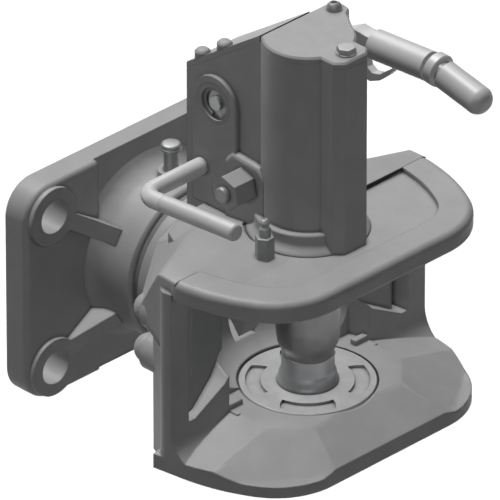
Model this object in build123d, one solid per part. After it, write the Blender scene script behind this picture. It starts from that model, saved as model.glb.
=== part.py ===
from build123d import *
import math
import os

# Automatic flange coupling for trailers, in millimetres.
# Origin: centre of the flange's back face. +X points out of the mouth, +Z is up.

# Clearances
run_gap = 0.05
face_gap = 0.3

# Flange
flange_width = 200.0
flange_height = 140.0
flange_thick = 17.0
flange_corner_r = 20.0
hole_pitch_y = 160.0
hole_pitch_z = 100.0
flange_hole_r = 10.5
hole_boss_r = 18.0
hole_boss_rise = 3.0
panel_half = 42.0
panel_depth = 4.0
rib_thick = 10.0

# Neck with the swivel bearing
neck_r = 50.0
neck_end_x = 50.0
trunnion_r = 28.0
trunnion_thread_r = 21.0
swivel_bush_wall = 5.0
rear_bore_r = 40.0
rear_bore_depth = 26.0
rear_cap_r = 43.5
rear_cap_thick = 3.0
thrust_washer_thick = 4.0
swivel_nut_thick = 13.0
seal_thick = 4.0
plug_x = 34.0
plug_rise = 5.0
trunnion_end_x = 5.0
cotter_r = 2.0

# Coupling pin
pin_x = 145.0
pin_r = 19.0
pin_spigot_r = 12.5
pin_waist_r = 15.2
pin_lift = 75.0
crown_z = 0.0
waist_z = -20.0
pin_bottom_z = -55.0
clevis_top_z = 101.0
clevis_slot_half = 7.2
cross_pin_r = 4.5

# Jaw casting
jaw_reach = 67.0
jaw_half = 105.0
jaw_corner_r = 45.0
jaw_side_r = 120.0
jaw_corner_deg = 60.0
jaw_side_deg = 22.0
jaw_top_z = 65.0
jaw_deck_z = 62.0
jaw_roof_z = 52.0
jaw_bottom_z = -62.0
lip_thick = 9.0
plateau_z = -39.0
plateau_half = 54.0
rim_width = 20.0
deck_rear_x = 132.0
web_top_z = 45.0
bowl_r = 22.0
mouth_r = 57.0
wall_front = -7.0
wall_thick = 13.0
collar_r = 49.0
wear_plate_r = 41.0
wear_plate_thick = 6.0
upper_bush_wall = 4.0
bush_low_z = 38.0
wiper_height = 3.0
wiper_r = pin_r + 6.0
lower_bush_r = 18.0
pad_top_z = 40.0
pad_bolt_y = 80.0
pad_bolt_z = (-5.0, 22.0)
pad_bolt_seat = 100.0
pad_bolt_r = 4.2
pad_bolt_boss_r = 11.5
nipple_forward = 8.5
nipple_y = -43.5

# Lift housing
tower_r = pin_r + 8.0
tower_bore_r = pin_r + face_gap
column_reach = pin_r + 11.0
column_front = 38.0
column_half = 13.7
column_flat_half = 8.7
tower_top_z = 183.0
cover_thick = 4.0
foot_r = tower_r + 4.0
foot_height = 11.5
seat_r = 36.0
housing_half = 20.0
housing_wall = 5.0
housing_rear_x = 67.0
housing_rear_z = 142.8
arch_rise = 3.0
arch_half = 17.5
deck_step_x = 84.0
foot_low_z = 51.8
slope_back = 19.0
column_bolt_r = 4.0
floor_screw_x = 112.0
floor_screw_y = 9.0
rear_screw_x = (76.4, 94.2)
rear_screw_edge = 3.6
rear_screw_head_r = 4.6

# Lift shaft, arm and hand lever
shaft_x = 92.0
shaft_z = 130.0
shaft_r = 10.0
shaft_bush_wall = 3.0
clip_thick = 1.3
arm_half = 5.8
arm_slot_half = 7.0
arm_half_height = 12.5
arm_reach = 70.0
arm_rest_deg = -36.5
cam_r = 19.2
lever_y = 48.25
lever_thick = 9.5
grip_r = 9.0
core_r = 6.0
grip_offset = 1.5
grip_root = (143.5, 162.8)
grip_knee = (199.0, 166.3)
grip_tip = (229.5, 159.6)

# Release shaft, trigger and control pin
release_x = 82.0
release_z = 86.0
release_r = 5.25
release_out_y = -71.0
release_reach = 77.0
release_rise = 6.0
release_core_r = 4.4
trigger_x = 80.0
trigger_z = 44.0
trigger_half = 7.0
trigger_pin_r = 4.0
control_x = 118.0
control_z = 88.5
control_r = 4.0
control_hex = 19.0
control_hex_length = 16.0
control_hex_turn = -18.0
control_thread_r = 8.0
control_chamber_r = 6.3

# Lug of the tower cover
lug_back = 11.0
lug_y = 31.7
lug_r = 8.5

# Places worked out from the sizes above
plug_seat_z = neck_r + plug_rise
nut_front_x = rear_bore_depth - face_gap - thrust_washer_thick
cotter_x = nut_front_x - swivel_nut_thick + 2.2
collar_x = neck_end_x + seal_thick + face_gap
cross_pin_z = shaft_z - pin_lift / 2
upper_bush_r = pin_r + upper_bush_wall
nipple_x = pin_x + nipple_forward
slope_end_x = pin_x - slope_back
rear_screw_y = -housing_half + rear_screw_edge
pawl_reach = math.hypot(shaft_x - release_x, shaft_z - release_z) - cam_r - 0.7
lug_x = pin_x - lug_back
grip_y = lever_y + grip_offset
column_x = pin_x + column_reach
front_x = pin_x + jaw_reach
wall_x = pin_x + wall_front
wall_back_x = wall_x - wall_thick
cover_top_z = tower_top_z + cover_thick
sides = (-1, 1)


# Small makers of plain forms
def rod_x(x0, x1, y, z, r):
    return Pos((x0 + x1) / 2, y, z) * Rot(0, 90, 0) * Cylinder(r, abs(x1 - x0))


def rod_y(y0, y1, x, z, r):
    return Pos(x, (y0 + y1) / 2, z) * Rot(90, 0, 0) * Cylinder(r, abs(y1 - y0))


def rod_z(x, y, z0, z1, r):
    return Pos(x, y, (z0 + z1) / 2) * Cylinder(r, abs(z1 - z0))


def block(x0, x1, y0, y1, z0, z1):
    return Pos((x0 + x1) / 2, (y0 + y1) / 2, (z0 + z1) / 2) * Box(x1 - x0, y1 - y0, z1 - z0)


def flat_face(points):
    return make_face(Polyline(*points, close=True))


def plan_prism(points, z0, z1):
    return extrude(flat_face([(x, y, z0) for x, y in points]), amount=z1 - z0, dir=(0, 0, 1))


def side_prism(points, y0, y1):
    return extrude(flat_face([(x, y0, z) for x, z in points]), amount=y1 - y0, dir=(0, 1, 0))


def front_prism(points, x0, x1):
    return extrude(flat_face([(x0, y, z) for y, z in points]), amount=x1 - x0, dir=(1, 0, 0))


def turned_x(points):
    return revolve(flat_face([(x, r, 0) for x, r in points]), Axis.X)


def turned_z(x, y, points):
    return Pos(x, y, 0) * revolve(flat_face([(r, 0, z) for r, z in points]), Axis.Z)


def hexagon_z(x, y, z0, z1, across):
    face = RegularPolygon(across / 2, 6, major_radius=False)
    return Pos(x, y, z0) * extrude(face, amount=z1 - z0)


def hexagon_y(y0, y1, x, z, across, turn):
    face = RegularPolygon(across / 2, 6, major_radius=False, rotation=turn)
    return extrude(Plane((x, y1, z), x_dir=(1, 0, 0), z_dir=(0, -1, 0)) * face, amount=y1 - y0)


def coil_y(x, z, y0, y1, coil_r, wire_r, turns):
    length = y1 - y0 - 2 * wire_r
    path = Helix(pitch=length / turns, height=length, radius=coil_r)
    start = Plane(origin=path @ 0, z_dir=path % 0)
    coil = sweep(start * Circle(wire_r), path=path)
    return Pos(x, y1 - wire_r, z) * Rot(90, 0, 0) * coil


def group(solids):
    return Compound(children=list(solids))


def save(node, shape):
    export_step(shape, "parts/" + node + ".step")


# Plan outline of both jaws: a straight front, round corners and slightly curved sides
def jaw_outline(rear_x, inset=0.0):
    corner = jaw_corner_r - inset
    side = jaw_side_r - inset
    turn = math.radians(jaw_corner_deg)
    end = math.radians(jaw_corner_deg + jaw_side_deg)
    step = jaw_corner_r - jaw_side_r
    centre_x = front_x - jaw_corner_r
    side_x = centre_x + step * math.cos(turn)
    reach = side_x + jaw_side_r * math.cos(end) - wall_back_x
    drop = step * math.sin(turn) + jaw_side_r * math.sin(end) + reach / math.tan(end)
    centre_y = jaw_half - drop
    side_y = centre_y + step * math.sin(turn)
    start = (centre_x + corner, 0)
    corner_start = (centre_x + corner, centre_y)
    side_end = (side_x + side * math.cos(end), side_y + side * math.sin(end))
    rear = (rear_x, side_end[1] + (side_end[0] - rear_x) / math.tan(end))
    half = Line(start, corner_start)
    half += CenterArc((centre_x, centre_y), corner, 0, jaw_corner_deg)
    half += CenterArc((side_x, side_y), side, jaw_corner_deg, jaw_side_deg)
    half += Line(side_end, rear)
    half += Line(rear, (rear_x, 0))
    return make_face(half + mirror(half, Plane.XZ))


# Flange and neck, one casting
def flange_casting():
    sketch = Plane.YZ * RectangleRounded(flange_width, flange_height, flange_corner_r)
    body = extrude(sketch, amount=flange_thick)
    body = fillet(body.faces().sort_by(Axis.X)[-1].edges(), 3.5)
    panel_x = flange_thick - panel_depth
    panel = block(panel_x, flange_thick + 5, -panel_half, panel_half, -flange_height, flange_height)
    body -= panel
    neck = turned_x([(2, 0), (2, neck_r + 9), (panel_x, neck_r + 9), (panel_x + 4, neck_r + 4),
                     (panel_x + 11, neck_r + 1), (panel_x + 17, neck_r), (neck_end_x - 1.5, neck_r),
                     (neck_end_x, neck_r - 1.5), (neck_end_x, 0)])
    body += neck
    for side_y in sides:
        for side_z in sides:
            y = side_y * hole_pitch_y / 2
            z = side_z * hole_pitch_z / 2
            body += rod_x(1, flange_thick + hole_boss_rise, y, z, hole_boss_r)
            angle = math.degrees(math.atan2(z, y))
            reach = math.hypot(y, z)
            rib = plan_prism([(4, neck_r - 8), (34, neck_r - 8), (34, neck_r + 1),
                              (flange_thick + 2, reach - hole_boss_r + 3), (4, reach - hole_boss_r + 3)],
                             -rib_thick / 2, rib_thick / 2)
            body += Rot(angle, 0, 0) * rib
    for side_y in sides:
        for side_z in sides:
            y = side_y * hole_pitch_y / 2
            z = side_z * hole_pitch_z / 2
            body -= rod_x(-1, flange_thick + 9, y, z, flange_hole_r)
    body += rod_z(plug_x, 0, neck_r - 4, plug_seat_z, 8)
    body -= rod_x(-1, rear_bore_depth, 0, 0, rear_bore_r)
    body -= rod_x(-1, rear_cap_thick + 0.5, 0, 0, rear_cap_r)
    body -= rod_x(10, neck_end_x + 1, 0, 0, trunnion_r + swivel_bush_wall)
    body -= rod_z(plug_x, 0, trunnion_r, plug_seat_z + 5, 3.2)
    return body


def neck_parts():
    save("flange_casting", flange_casting())
    bush = rod_x(rear_bore_depth, neck_end_x, 0, 0, trunnion_r + swivel_bush_wall)
    bush -= rod_x(0, 60, 0, 0, trunnion_r + run_gap)
    bush -= rod_z(plug_x, 0, 0, neck_r, 3.2)
    save("swivel_bush", bush)
    plug = turned_z(plug_x, 0, [(0, plug_seat_z - 8), (3, plug_seat_z - 8), (3, plug_seat_z),
                                (4.5, plug_seat_z), (4.5, plug_seat_z + 13), (6, plug_seat_z + 13.6),
                                (6, plug_seat_z + 16.6), (5, plug_seat_z + 17.6), (0, plug_seat_z + 17.6)])
    save("neck_grease_plug", plug)
    cap = rod_x(0.5, rear_cap_thick + 0.5, 0, 0, rear_cap_r - run_gap)
    cap = chamfer(cap.faces().sort_by(Axis.X)[0].edges(), 0.8)
    save("rear_cap", cap)
    seal = rod_x(neck_end_x, neck_end_x + seal_thick, 0, 0, neck_r - 4)
    seal -= rod_x(0, 90, 0, 0, trunnion_r + 4)
    save("neck_seal", seal)
    washer_x = rear_bore_depth - face_gap
    washer = rod_x(washer_x - thrust_washer_thick, washer_x, 0, 0, rear_bore_r - 2)
    washer -= rod_x(0, 60, 0, 0, trunnion_thread_r + run_gap)
    save("thrust_washer", washer)
    nut_x = nut_front_x
    nut = extrude(Plane.YZ * RegularPolygon(32, 6, major_radius=False), amount=-swivel_nut_thick)
    nut = Pos(nut_x, 0, 0) * nut
    nut &= turned_x([(nut_x, 0), (nut_x, 36), (nut_x - swivel_nut_thick + 3, 36),
                     (nut_x - swivel_nut_thick, 33), (nut_x - swivel_nut_thick, 0)])
    nut -= rod_x(0, 60, 0, 0, trunnion_thread_r + run_gap)
    for turn in range(3):
        slot = block(nut_x - swivel_nut_thick - 1, nut_x - swivel_nut_thick + 5, -3, 3, -40, 40)
        nut -= Rot(turn * 60 + 30, 0, 0) * slot
    save("swivel_nut", nut)
    cotter = rod_z(cotter_x, 0, -36, 36, cotter_r)
    cotter += Pos(cotter_x, 0, 36.5) * Sphere(2.6)
    save("swivel_cotter", Rot(30, 0, 0) * cotter)


# Jaw casting: swivel trunnion, back wall, upper and lower jaw
def lower_mound(top_z, low_z, shrink):
    wide = jaw_half + 7 - shrink
    nose = front_x + 6 - shrink
    low = [(60, -wide), (pin_x + 20, -wide), (nose, -46 + shrink / 2), (nose, 46 - shrink / 2),
           (pin_x + 20, wide), (60, wide)]
    half = plateau_half - shrink / 3
    tip = pin_x + 39 - shrink / 3
    high = [(60, -half), (pin_x + 21, -half), (tip, -36), (tip, 36), (pin_x + 21, half), (60, half)]
    lower = flat_face([(x, y, low_z) for x, y in low])
    upper = flat_face([(x, y, top_z) for x, y in high])
    return loft([lower, upper], ruled=True)


def pad_corners(side):
    slope = math.radians(15)
    inner = (pin_x - 22, 47.7)
    width = 37.5
    thick = 11.7
    outer = (inner[0] + width * math.sin(slope), inner[1] + width * math.cos(slope))
    back = (-thick * math.cos(slope), thick * math.sin(slope))
    points = [inner, outer, (outer[0] + back[0], outer[1] + back[1]),
              (inner[0] + back[0], inner[1] + back[1])]
    return [(x, side * y) for x, y in points]


def rear_contour():
    half = [(collar_x, collar_r - 1), (deck_step_x, 52), (98, 57), (110, 90), (wall_back_x, 97),
            (wall_back_x + 5, 97)]
    return half + [(x, -y) for x, y in reversed(half)]


# What is cut off behind the deck, so that its top falls to a lower web on each side
def web_fall(side):
    top = jaw_deck_z + 20
    back = side_prism([(40, top), (40, web_top_z), (deck_rear_x - 17, web_top_z),
                       (deck_rear_x, jaw_deck_z), (deck_rear_x, top)], -150, 150)
    flank = front_prism([(side * 40, top), (side * 40, jaw_deck_z), (side * 66, web_top_z),
                         (side * 150, web_top_z), (side * 150, top)], 40, deck_rear_x)
    return back & flank


def pad_front(side, inner):
    return front_prism([(side * inner, jaw_roof_z), (side * 99, jaw_roof_z), (side * 99, -33),
                        (side * 84, -33), (side * 60, -20), (side * 50, -9), (side * inner, -6)], 90, 150)


def jaw_casting():
    deck = extrude(Pos(0, 0, jaw_roof_z) * jaw_outline(deck_rear_x), amount=jaw_top_z - jaw_roof_z)
    deck = fillet(deck.edges().filter_by(Axis.Z).sort_by(Axis.X)[:2], 9)
    deck = fillet(deck.faces().sort_by(Axis.Z)[-1].edges(), 4.5)
    deck = fillet(deck.faces().sort_by(Axis.Z)[0].edges(), 2.5)
    panel = extrude(Pos(0, 0, jaw_deck_z) * jaw_outline(deck_rear_x + 7, rim_width), amount=9)
    deck -= panel
    deck -= block(deck_rear_x - 5, deck_rear_x + 9, -42, 42, jaw_deck_z, jaw_top_z + 3)
    wall_plan = jaw_outline(wall_back_x) - Pos(wall_x + 100, 0, 0) * Rectangle(200, 400)
    walls = extrude(Pos(0, 0, jaw_bottom_z) * wall_plan, amount=jaw_roof_z + 4 - jaw_bottom_z)
    walls = fillet(walls.edges().filter_by(Axis.Z).sort_by(Axis.X)[:2], 8)
    walls += plan_prism(rear_contour()[1:-1], jaw_bottom_z, jaw_deck_z)
    for side in sides:
        walls -= web_fall(side)
        for z in pad_bolt_z:
            walls += rod_x(pad_bolt_seat, wall_back_x - 11, side * pad_bolt_y, z, pad_bolt_boss_r)
    round_end = Plane.YZ.offset(collar_x + 14) * Circle(collar_r)
    square_end = Plane.YZ.offset(deck_step_x + 4) * Pos(0, -2) * RectangleRounded(106, 106, 22)
    neck_blend = loft([round_end, square_end])
    collar = turned_x([(trunnion_end_x, 0), (trunnion_end_x, trunnion_thread_r),
                       (rear_bore_depth - face_gap, trunnion_thread_r),
                       (rear_bore_depth - face_gap, trunnion_r), (collar_x, trunnion_r),
                       (collar_x, collar_r - 1.5), (collar_x + 1.5, collar_r), (collar_x + 15, collar_r),
                       (collar_x + 15, 0)])
    collar -= Rot(30, 0, 0) * rod_z(cotter_x, 0, -30, 30, cotter_r + run_gap)
    body = walls + neck_blend + collar
    mouth = rod_z(pin_x, 0, plateau_z - 30, jaw_roof_z, mouth_r)
    mouth += block(wall_x, front_x + 9, -jaw_half - 9, jaw_half + 9, plateau_z - 30, jaw_roof_z)
    for side in sides:
        inner, outer, outer_back, inner_back = pad_corners(side)
        recess = [inner_back, outer_back, (wall_x + 5, outer_back[1] + side * 3), (wall_x + 5, side * 30),
                  (inner_back[0] + 20, side * 30)]
        mouth += plan_prism(recess, plateau_z - 30, pad_top_z + face_gap) & pad_front(side, 30)
    floor_shape = extrude(Pos(0, 0, jaw_bottom_z) * jaw_outline(wall_back_x), amount=60)
    floor_shape += plan_prism(rear_contour()[1:-1], jaw_bottom_z, jaw_bottom_z + 60)
    mound = lower_mound(plateau_z, jaw_bottom_z + lip_thick - 2, 0) + \
        block(60, front_x + 9, -jaw_half - 9, jaw_half + 9, jaw_bottom_z, jaw_bottom_z + lip_thick - 2)
    cove_r = 20.0
    cove = block(wall_x - 4, wall_x + cove_r, -jaw_half - 5, jaw_half + 5, plateau_z - 20, plateau_z + 3)
    cove -= rod_y(-jaw_half - 9, jaw_half + 9, wall_x + cove_r, jaw_bottom_z + lip_thick - 2 + cove_r, cove_r)
    cove -= block(0, 300, -46, 46, -90, 0)
    floor = floor_shape & (mound + cove)
    back_cove = rod_z(pin_x, 0, plateau_z - 4, plateau_z + bowl_r, mouth_r + 2)
    back_cove -= rod_z(pin_x, 0, plateau_z - 9, plateau_z + bowl_r + 9, mouth_r - bowl_r)
    back_cove -= Pos(pin_x, 0, plateau_z + bowl_r) * Torus(mouth_r - bowl_r, bowl_r)
    back_cove &= block(50, pin_x - 20, -60, 60, -90, 0)
    centre_floor = rod_z(pin_x, 0, jaw_bottom_z, plateau_z, mouth_r)
    centre_floor &= block(60, pin_x, -90, 90, -90, 90)
    body -= mouth
    body += floor + centre_floor + back_cove + deck
    body += block(deck_step_x + 6, pin_x, -42, 42, jaw_roof_z, jaw_deck_z)
    hollow = lower_mound(plateau_z - lip_thick - 2, jaw_bottom_z - 2, 26)
    hollow &= extrude(Pos(0, 0, jaw_bottom_z - 2) * jaw_outline(wall_x + 6, 10), amount=40)
    for angle in (-50, 0, 50):
        hollow -= Pos(pin_x, 0, -50) * Rot(0, 0, angle) * Pos(50, 0, 0) * Box(100, 8, 60)
    hollow -= rod_z(pin_x, 0, -90, 0, 30)
    body -= hollow
    body += rod_z(pin_x, 0, bush_low_z, jaw_roof_z + 1, 29)
    body -= rod_z(pin_x, 0, bush_low_z - 1, jaw_top_z + 5, upper_bush_r)
    body -= rod_z(pin_x, 0, bush_low_z - 1, bush_low_z + wiper_height, wiper_r)
    body -= rod_z(pin_x, 0, plateau_z - wear_plate_thick, plateau_z + 30, wear_plate_r + run_gap)
    body += rod_z(pin_x, 0, jaw_bottom_z, plateau_z - wear_plate_thick, lower_bush_r + 6)
    body -= rod_z(pin_x, 0, jaw_bottom_z + 2, plateau_z, lower_bush_r)
    body -= rod_z(pin_x, 0, jaw_bottom_z - 1, plateau_z, 6)
    body -= block(trigger_x - 9, pin_x - 40, -trigger_half - 1.2, trigger_half + 1.2, -32, jaw_deck_z + 5)
    body -= rod_y(-22, 22, trigger_x, trigger_z, trigger_pin_r + run_gap)
    for side in sides:
        body -= rod_z(floor_screw_x, side * floor_screw_y, jaw_roof_z + 1, jaw_deck_z + 1,
                      column_bolt_r + run_gap)
    body -= rod_z(column_x, 0, jaw_roof_z - 9, jaw_deck_z + 1, column_bolt_r + run_gap)
    for side in sides:
        for z in pad_bolt_z:
            body -= rod_x(80, wall_x, side * pad_bolt_y, z, pad_bolt_r + run_gap)
            body -= rod_x(60, pad_bolt_seat, side * pad_bolt_y, z, pad_bolt_boss_r + 1)
    body -= rod_z(nipple_x, nipple_y, jaw_deck_z - 6, jaw_top_z + 5, 3.05)
    return body


def jaw_parts():
    save("jaw_casting", jaw_casting())
    for side, name in ((-1, "left"), (1, "right")):
        inner, outer, outer_back, inner_back = pad_corners(side)
        pad = plan_prism([inner, outer, outer_back, inner_back], plateau_z, pad_top_z)
        upright = pad.edges().filter_by(Axis.Z).sort_by_distance((outer[0], outer[1], 0))[0]
        pad = fillet(upright, 5)
        pad &= pad_front(side, 40)
        for z in pad_bolt_z:
            pad -= rod_x(80, outer_back[0] + 5, side * pad_bolt_y, z, pad_bolt_r + run_gap)
        save("stop_pad_" + name, pad)
        bolts = []
        for z in pad_bolt_z:
            bolt = rod_x(pad_bolt_seat - 3, outer_back[0] + 4, side * pad_bolt_y, z, pad_bolt_r)
            dome = Pos(pad_bolt_seat - 3, side * pad_bolt_y, z) * Sphere(9)
            dome &= block(0, pad_bolt_seat - 3, -200, 200, -200, 200)
            head = rod_x(pad_bolt_seat - 3, pad_bolt_seat, side * pad_bolt_y, z, 9)
            bolts.append(bolt + dome + head)
        save("pad_bolts_" + name, group(bolts))
    bush = rod_z(pin_x, 0, bush_low_z + wiper_height, jaw_deck_z, upper_bush_r)
    bush -= rod_z(pin_x, 0, 0, 90, pin_r + run_gap)
    save("upper_bush", bush)
    wiper = turned_z(pin_x, 0,
                     [(pin_r + face_gap, bush_low_z), (wiper_r, bush_low_z),
                      (wiper_r, bush_low_z + wiper_height),
                                (pin_r + 2, bush_low_z + wiper_height), (pin_r + face_gap, bush_low_z + 1.2)])
    save("pin_wiper", wiper)
    collar = [(pin_spigot_r + run_gap, jaw_bottom_z + 3), (lower_bush_r, jaw_bottom_z + 3),
              (lower_bush_r, plateau_z + 1),
              (lower_bush_r - 1, plateau_z + 3), (16.8, plateau_z + 6), (15.6, plateau_z + 9),
              (pin_waist_r, waist_z - face_gap), (pin_spigot_r + 1.2, waist_z - face_gap),
              (pin_spigot_r + run_gap, waist_z - 1.8)]
    save("lower_bush", turned_z(pin_x, 0, collar))
    save("wear_plate", wear_plate())
    nipple = turned_z(nipple_x, nipple_y, [(0, jaw_deck_z - 6), (3, jaw_deck_z - 6), (3, jaw_deck_z + 7),
                                           (3.5, jaw_deck_z + 15), (3.5, jaw_deck_z + 20),
                                           (2.6, jaw_deck_z + 21), (3.4, jaw_deck_z + 23),
                                           (2, jaw_deck_z + 26), (0, jaw_deck_z + 26)])
    nipple += hexagon_z(nipple_x, nipple_y, jaw_deck_z, jaw_deck_z + 15, 10)
    save("jaw_grease_nipple", nipple)


# Wear plate with four sickle-shaped grease pockets
def wear_plate():
    plate = rod_z(pin_x, 0, plateau_z - wear_plate_thick, plateau_z, wear_plate_r)
    plate = chamfer(plate.faces().sort_by(Axis.Z)[-1].edges(), 1.5)
    plate -= rod_z(pin_x, 0, -90, 0, lower_bush_r + run_gap)
    for start in (20, 110, 200, 290):
        middle = math.radians(start + 25)
        moon = rod_z(pin_x, 0, plateau_z - 2, plateau_z + 5, wear_plate_r - 5)
        moon -= rod_z(pin_x, 0, -90, 0, wear_plate_r - 14)
        keep = rod_z(pin_x + 30 * math.cos(middle), 30 * math.sin(middle), -60, 0, 16)
        plate -= moon & keep
    return plate


# Coupling pin: crowned barrel, waist, spigot and a clevis at its top
def pin_parts():
    barrel = turned_z(pin_x, 0,
                      [(0, pin_bottom_z), (pin_spigot_r - 3, pin_bottom_z), (pin_spigot_r, pin_bottom_z + 4),
                                 (pin_spigot_r, waist_z), (pin_waist_r, waist_z),
                                 (pin_waist_r + 0.4, waist_z + 3),
                                 (pin_r - 1.3, crown_z - 12), (pin_r - 0.5, crown_z - 6), (pin_r, crown_z),
                                 (pin_r, clevis_top_z - 3), (pin_r - 3, clevis_top_z), (0, clevis_top_z)])
    slot_rear = block(pin_x - 30, pin_x, -clevis_slot_half, clevis_slot_half, 56, clevis_top_z + 5)
    slot_front = block(pin_x - 1, pin_x + 30, -clevis_slot_half, clevis_slot_half, 69, clevis_top_z + 5)
    barrel -= slot_rear + slot_front
    barrel -= rod_y(-30, 30, pin_x, cross_pin_z, cross_pin_r + run_gap)
    save("coupling_pin", barrel)
    save("cross_pin", rod_y(-17, 17, pin_x, cross_pin_z, cross_pin_r))


# Lift housing: tower, screw column, rear box, arch pads and foot
def housing_outline():
    return [(housing_rear_x, jaw_deck_z), (housing_rear_x, housing_rear_z),
            (slope_end_x, tower_top_z), (pin_x, tower_top_z), (pin_x, jaw_deck_z)]


def column_plan():
    front = pin_x + column_front
    cut = column_half - column_flat_half
    half = [(pin_x, column_half), (front - cut, column_half), (front, column_flat_half)]
    return half + [(x, -y) for x, y in reversed(half)]


def housing_casting():
    body = rod_z(pin_x, 0, jaw_deck_z, tower_top_z, tower_r)
    body += plan_prism(column_plan(), jaw_deck_z, tower_top_z)
    box = side_prism(housing_outline(), -housing_half, housing_half)
    body += box
    foot_top = jaw_deck_z + foot_height
    body += turned_z(pin_x, 0, [(0, jaw_deck_z), (seat_r, jaw_deck_z), (seat_r - 0.6, jaw_deck_z + 1.2),
                                (seat_r - 2.4, jaw_deck_z + 2.4), (foot_r + 0.8, jaw_deck_z + 4),
                                (foot_r, jaw_deck_z + 6), (foot_r, foot_top - 1), (foot_r - 1, foot_top),
                                (0, foot_top)])
    body += block(housing_rear_x, deck_step_x - face_gap, -housing_half, housing_half, foot_low_z, jaw_deck_z)
    for side in sides:
        y0 = side * (housing_half + arch_rise)
        low, high = min(0, y0), max(0, y0)
        arch = block(shaft_x - arch_half, shaft_x + arch_half, low, high, jaw_deck_z, shaft_z)
        arch += rod_y(low, high, shaft_x, shaft_z, arch_half)
        body += arch
    ledge = side_prism([(control_x - 15, jaw_deck_z), (control_x - 15, 101), (control_x - 11, 105),
                        (control_x + 11, 103), (control_x + 15, 99), (control_x + 15, jaw_deck_z)],
                       -housing_half - 4.5, 0)
    crown = ledge.edges().filter_by(lambda e: e.center().Y < -housing_half - 4 and e.center().Z > 90)
    body += fillet(crown, 3)
    body += rod_z(lug_x, lug_y, tower_top_z - 16, tower_top_z, lug_r)
    body += block(lug_x - 6, lug_x + 6, 10, lug_y, tower_top_z - 16, tower_top_z)
    rise = (tower_top_z - housing_rear_z) / (slope_end_x - housing_rear_x)
    body -= side_prism([(housing_rear_x - 9, housing_rear_z - 9 * rise), (slope_end_x, tower_top_z),
                        (slope_end_x, 300), (housing_rear_x - 9, 300)], -70, 70)
    body -= rod_z(pin_x, 0, 0, 300, tower_bore_r)
    inner = housing_half - housing_wall
    body -= side_prism([(housing_rear_x + housing_wall, jaw_deck_z + 4), (housing_rear_x + housing_wall, 300),
                        (slope_end_x - 3, 300), (slope_end_x - 3, 160), (slope_end_x + 3, 160),
                        (slope_end_x + 3, jaw_deck_z + 4)], -inner, inner)
    body -= block(slope_end_x - 6, pin_x - 10, -clevis_slot_half, clevis_slot_half, 150, tower_top_z - 7)
    body -= block(trigger_x - 9, trigger_x + 12, -trigger_half - 1.2, trigger_half + 1.2, 0, jaw_deck_z + 8)
    body -= block(pin_x - 5, pin_x + 21, -clevis_slot_half, clevis_slot_half, jaw_deck_z + 6, tower_top_z - 3)
    for side in sides:
        outer = side * (housing_half + arch_rise)
        body -= rod_y(min(side * 12, outer * 1.2), max(side * 12, outer * 1.2), shaft_x, shaft_z,
                      shaft_r + shaft_bush_wall)
    body -= rod_y(-40, 0, release_x, release_z, release_r + run_gap)
    body -= rod_y(-40, 0, control_x, control_z, control_thread_r)
    body -= rod_z(column_x, 0, 0, 300, column_bolt_r + run_gap)
    body -= rod_z(lug_x, lug_y, tower_top_z - 14, 300, 3.05)
    for side in sides:
        body -= rod_z(floor_screw_x, side * floor_screw_y, 0, jaw_deck_z + 6, column_bolt_r + run_gap)
    for x in rear_screw_x:
        body -= rod_z(x, rear_screw_y, 100, 300, 2.55) & block(0, 300, -90, 90, 130, 300)
    return body


def cover_plan():
    plate = Pos(pin_x, 0) * Circle(tower_r) + flat_face(column_plan())
    plate += flat_face([(slope_end_x, -19), (slope_end_x, lug_y + 6), (lug_x, lug_y + lug_r),
                        (pin_x - 1, lug_y + 1), (pin_x + 15, 22), (pin_x + 18, -19)])
    plate += Pos(lug_x, lug_y) * Circle(lug_r)
    return plate - Pos(slope_end_x - 60, 0) * Rectangle(120, 200)


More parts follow.
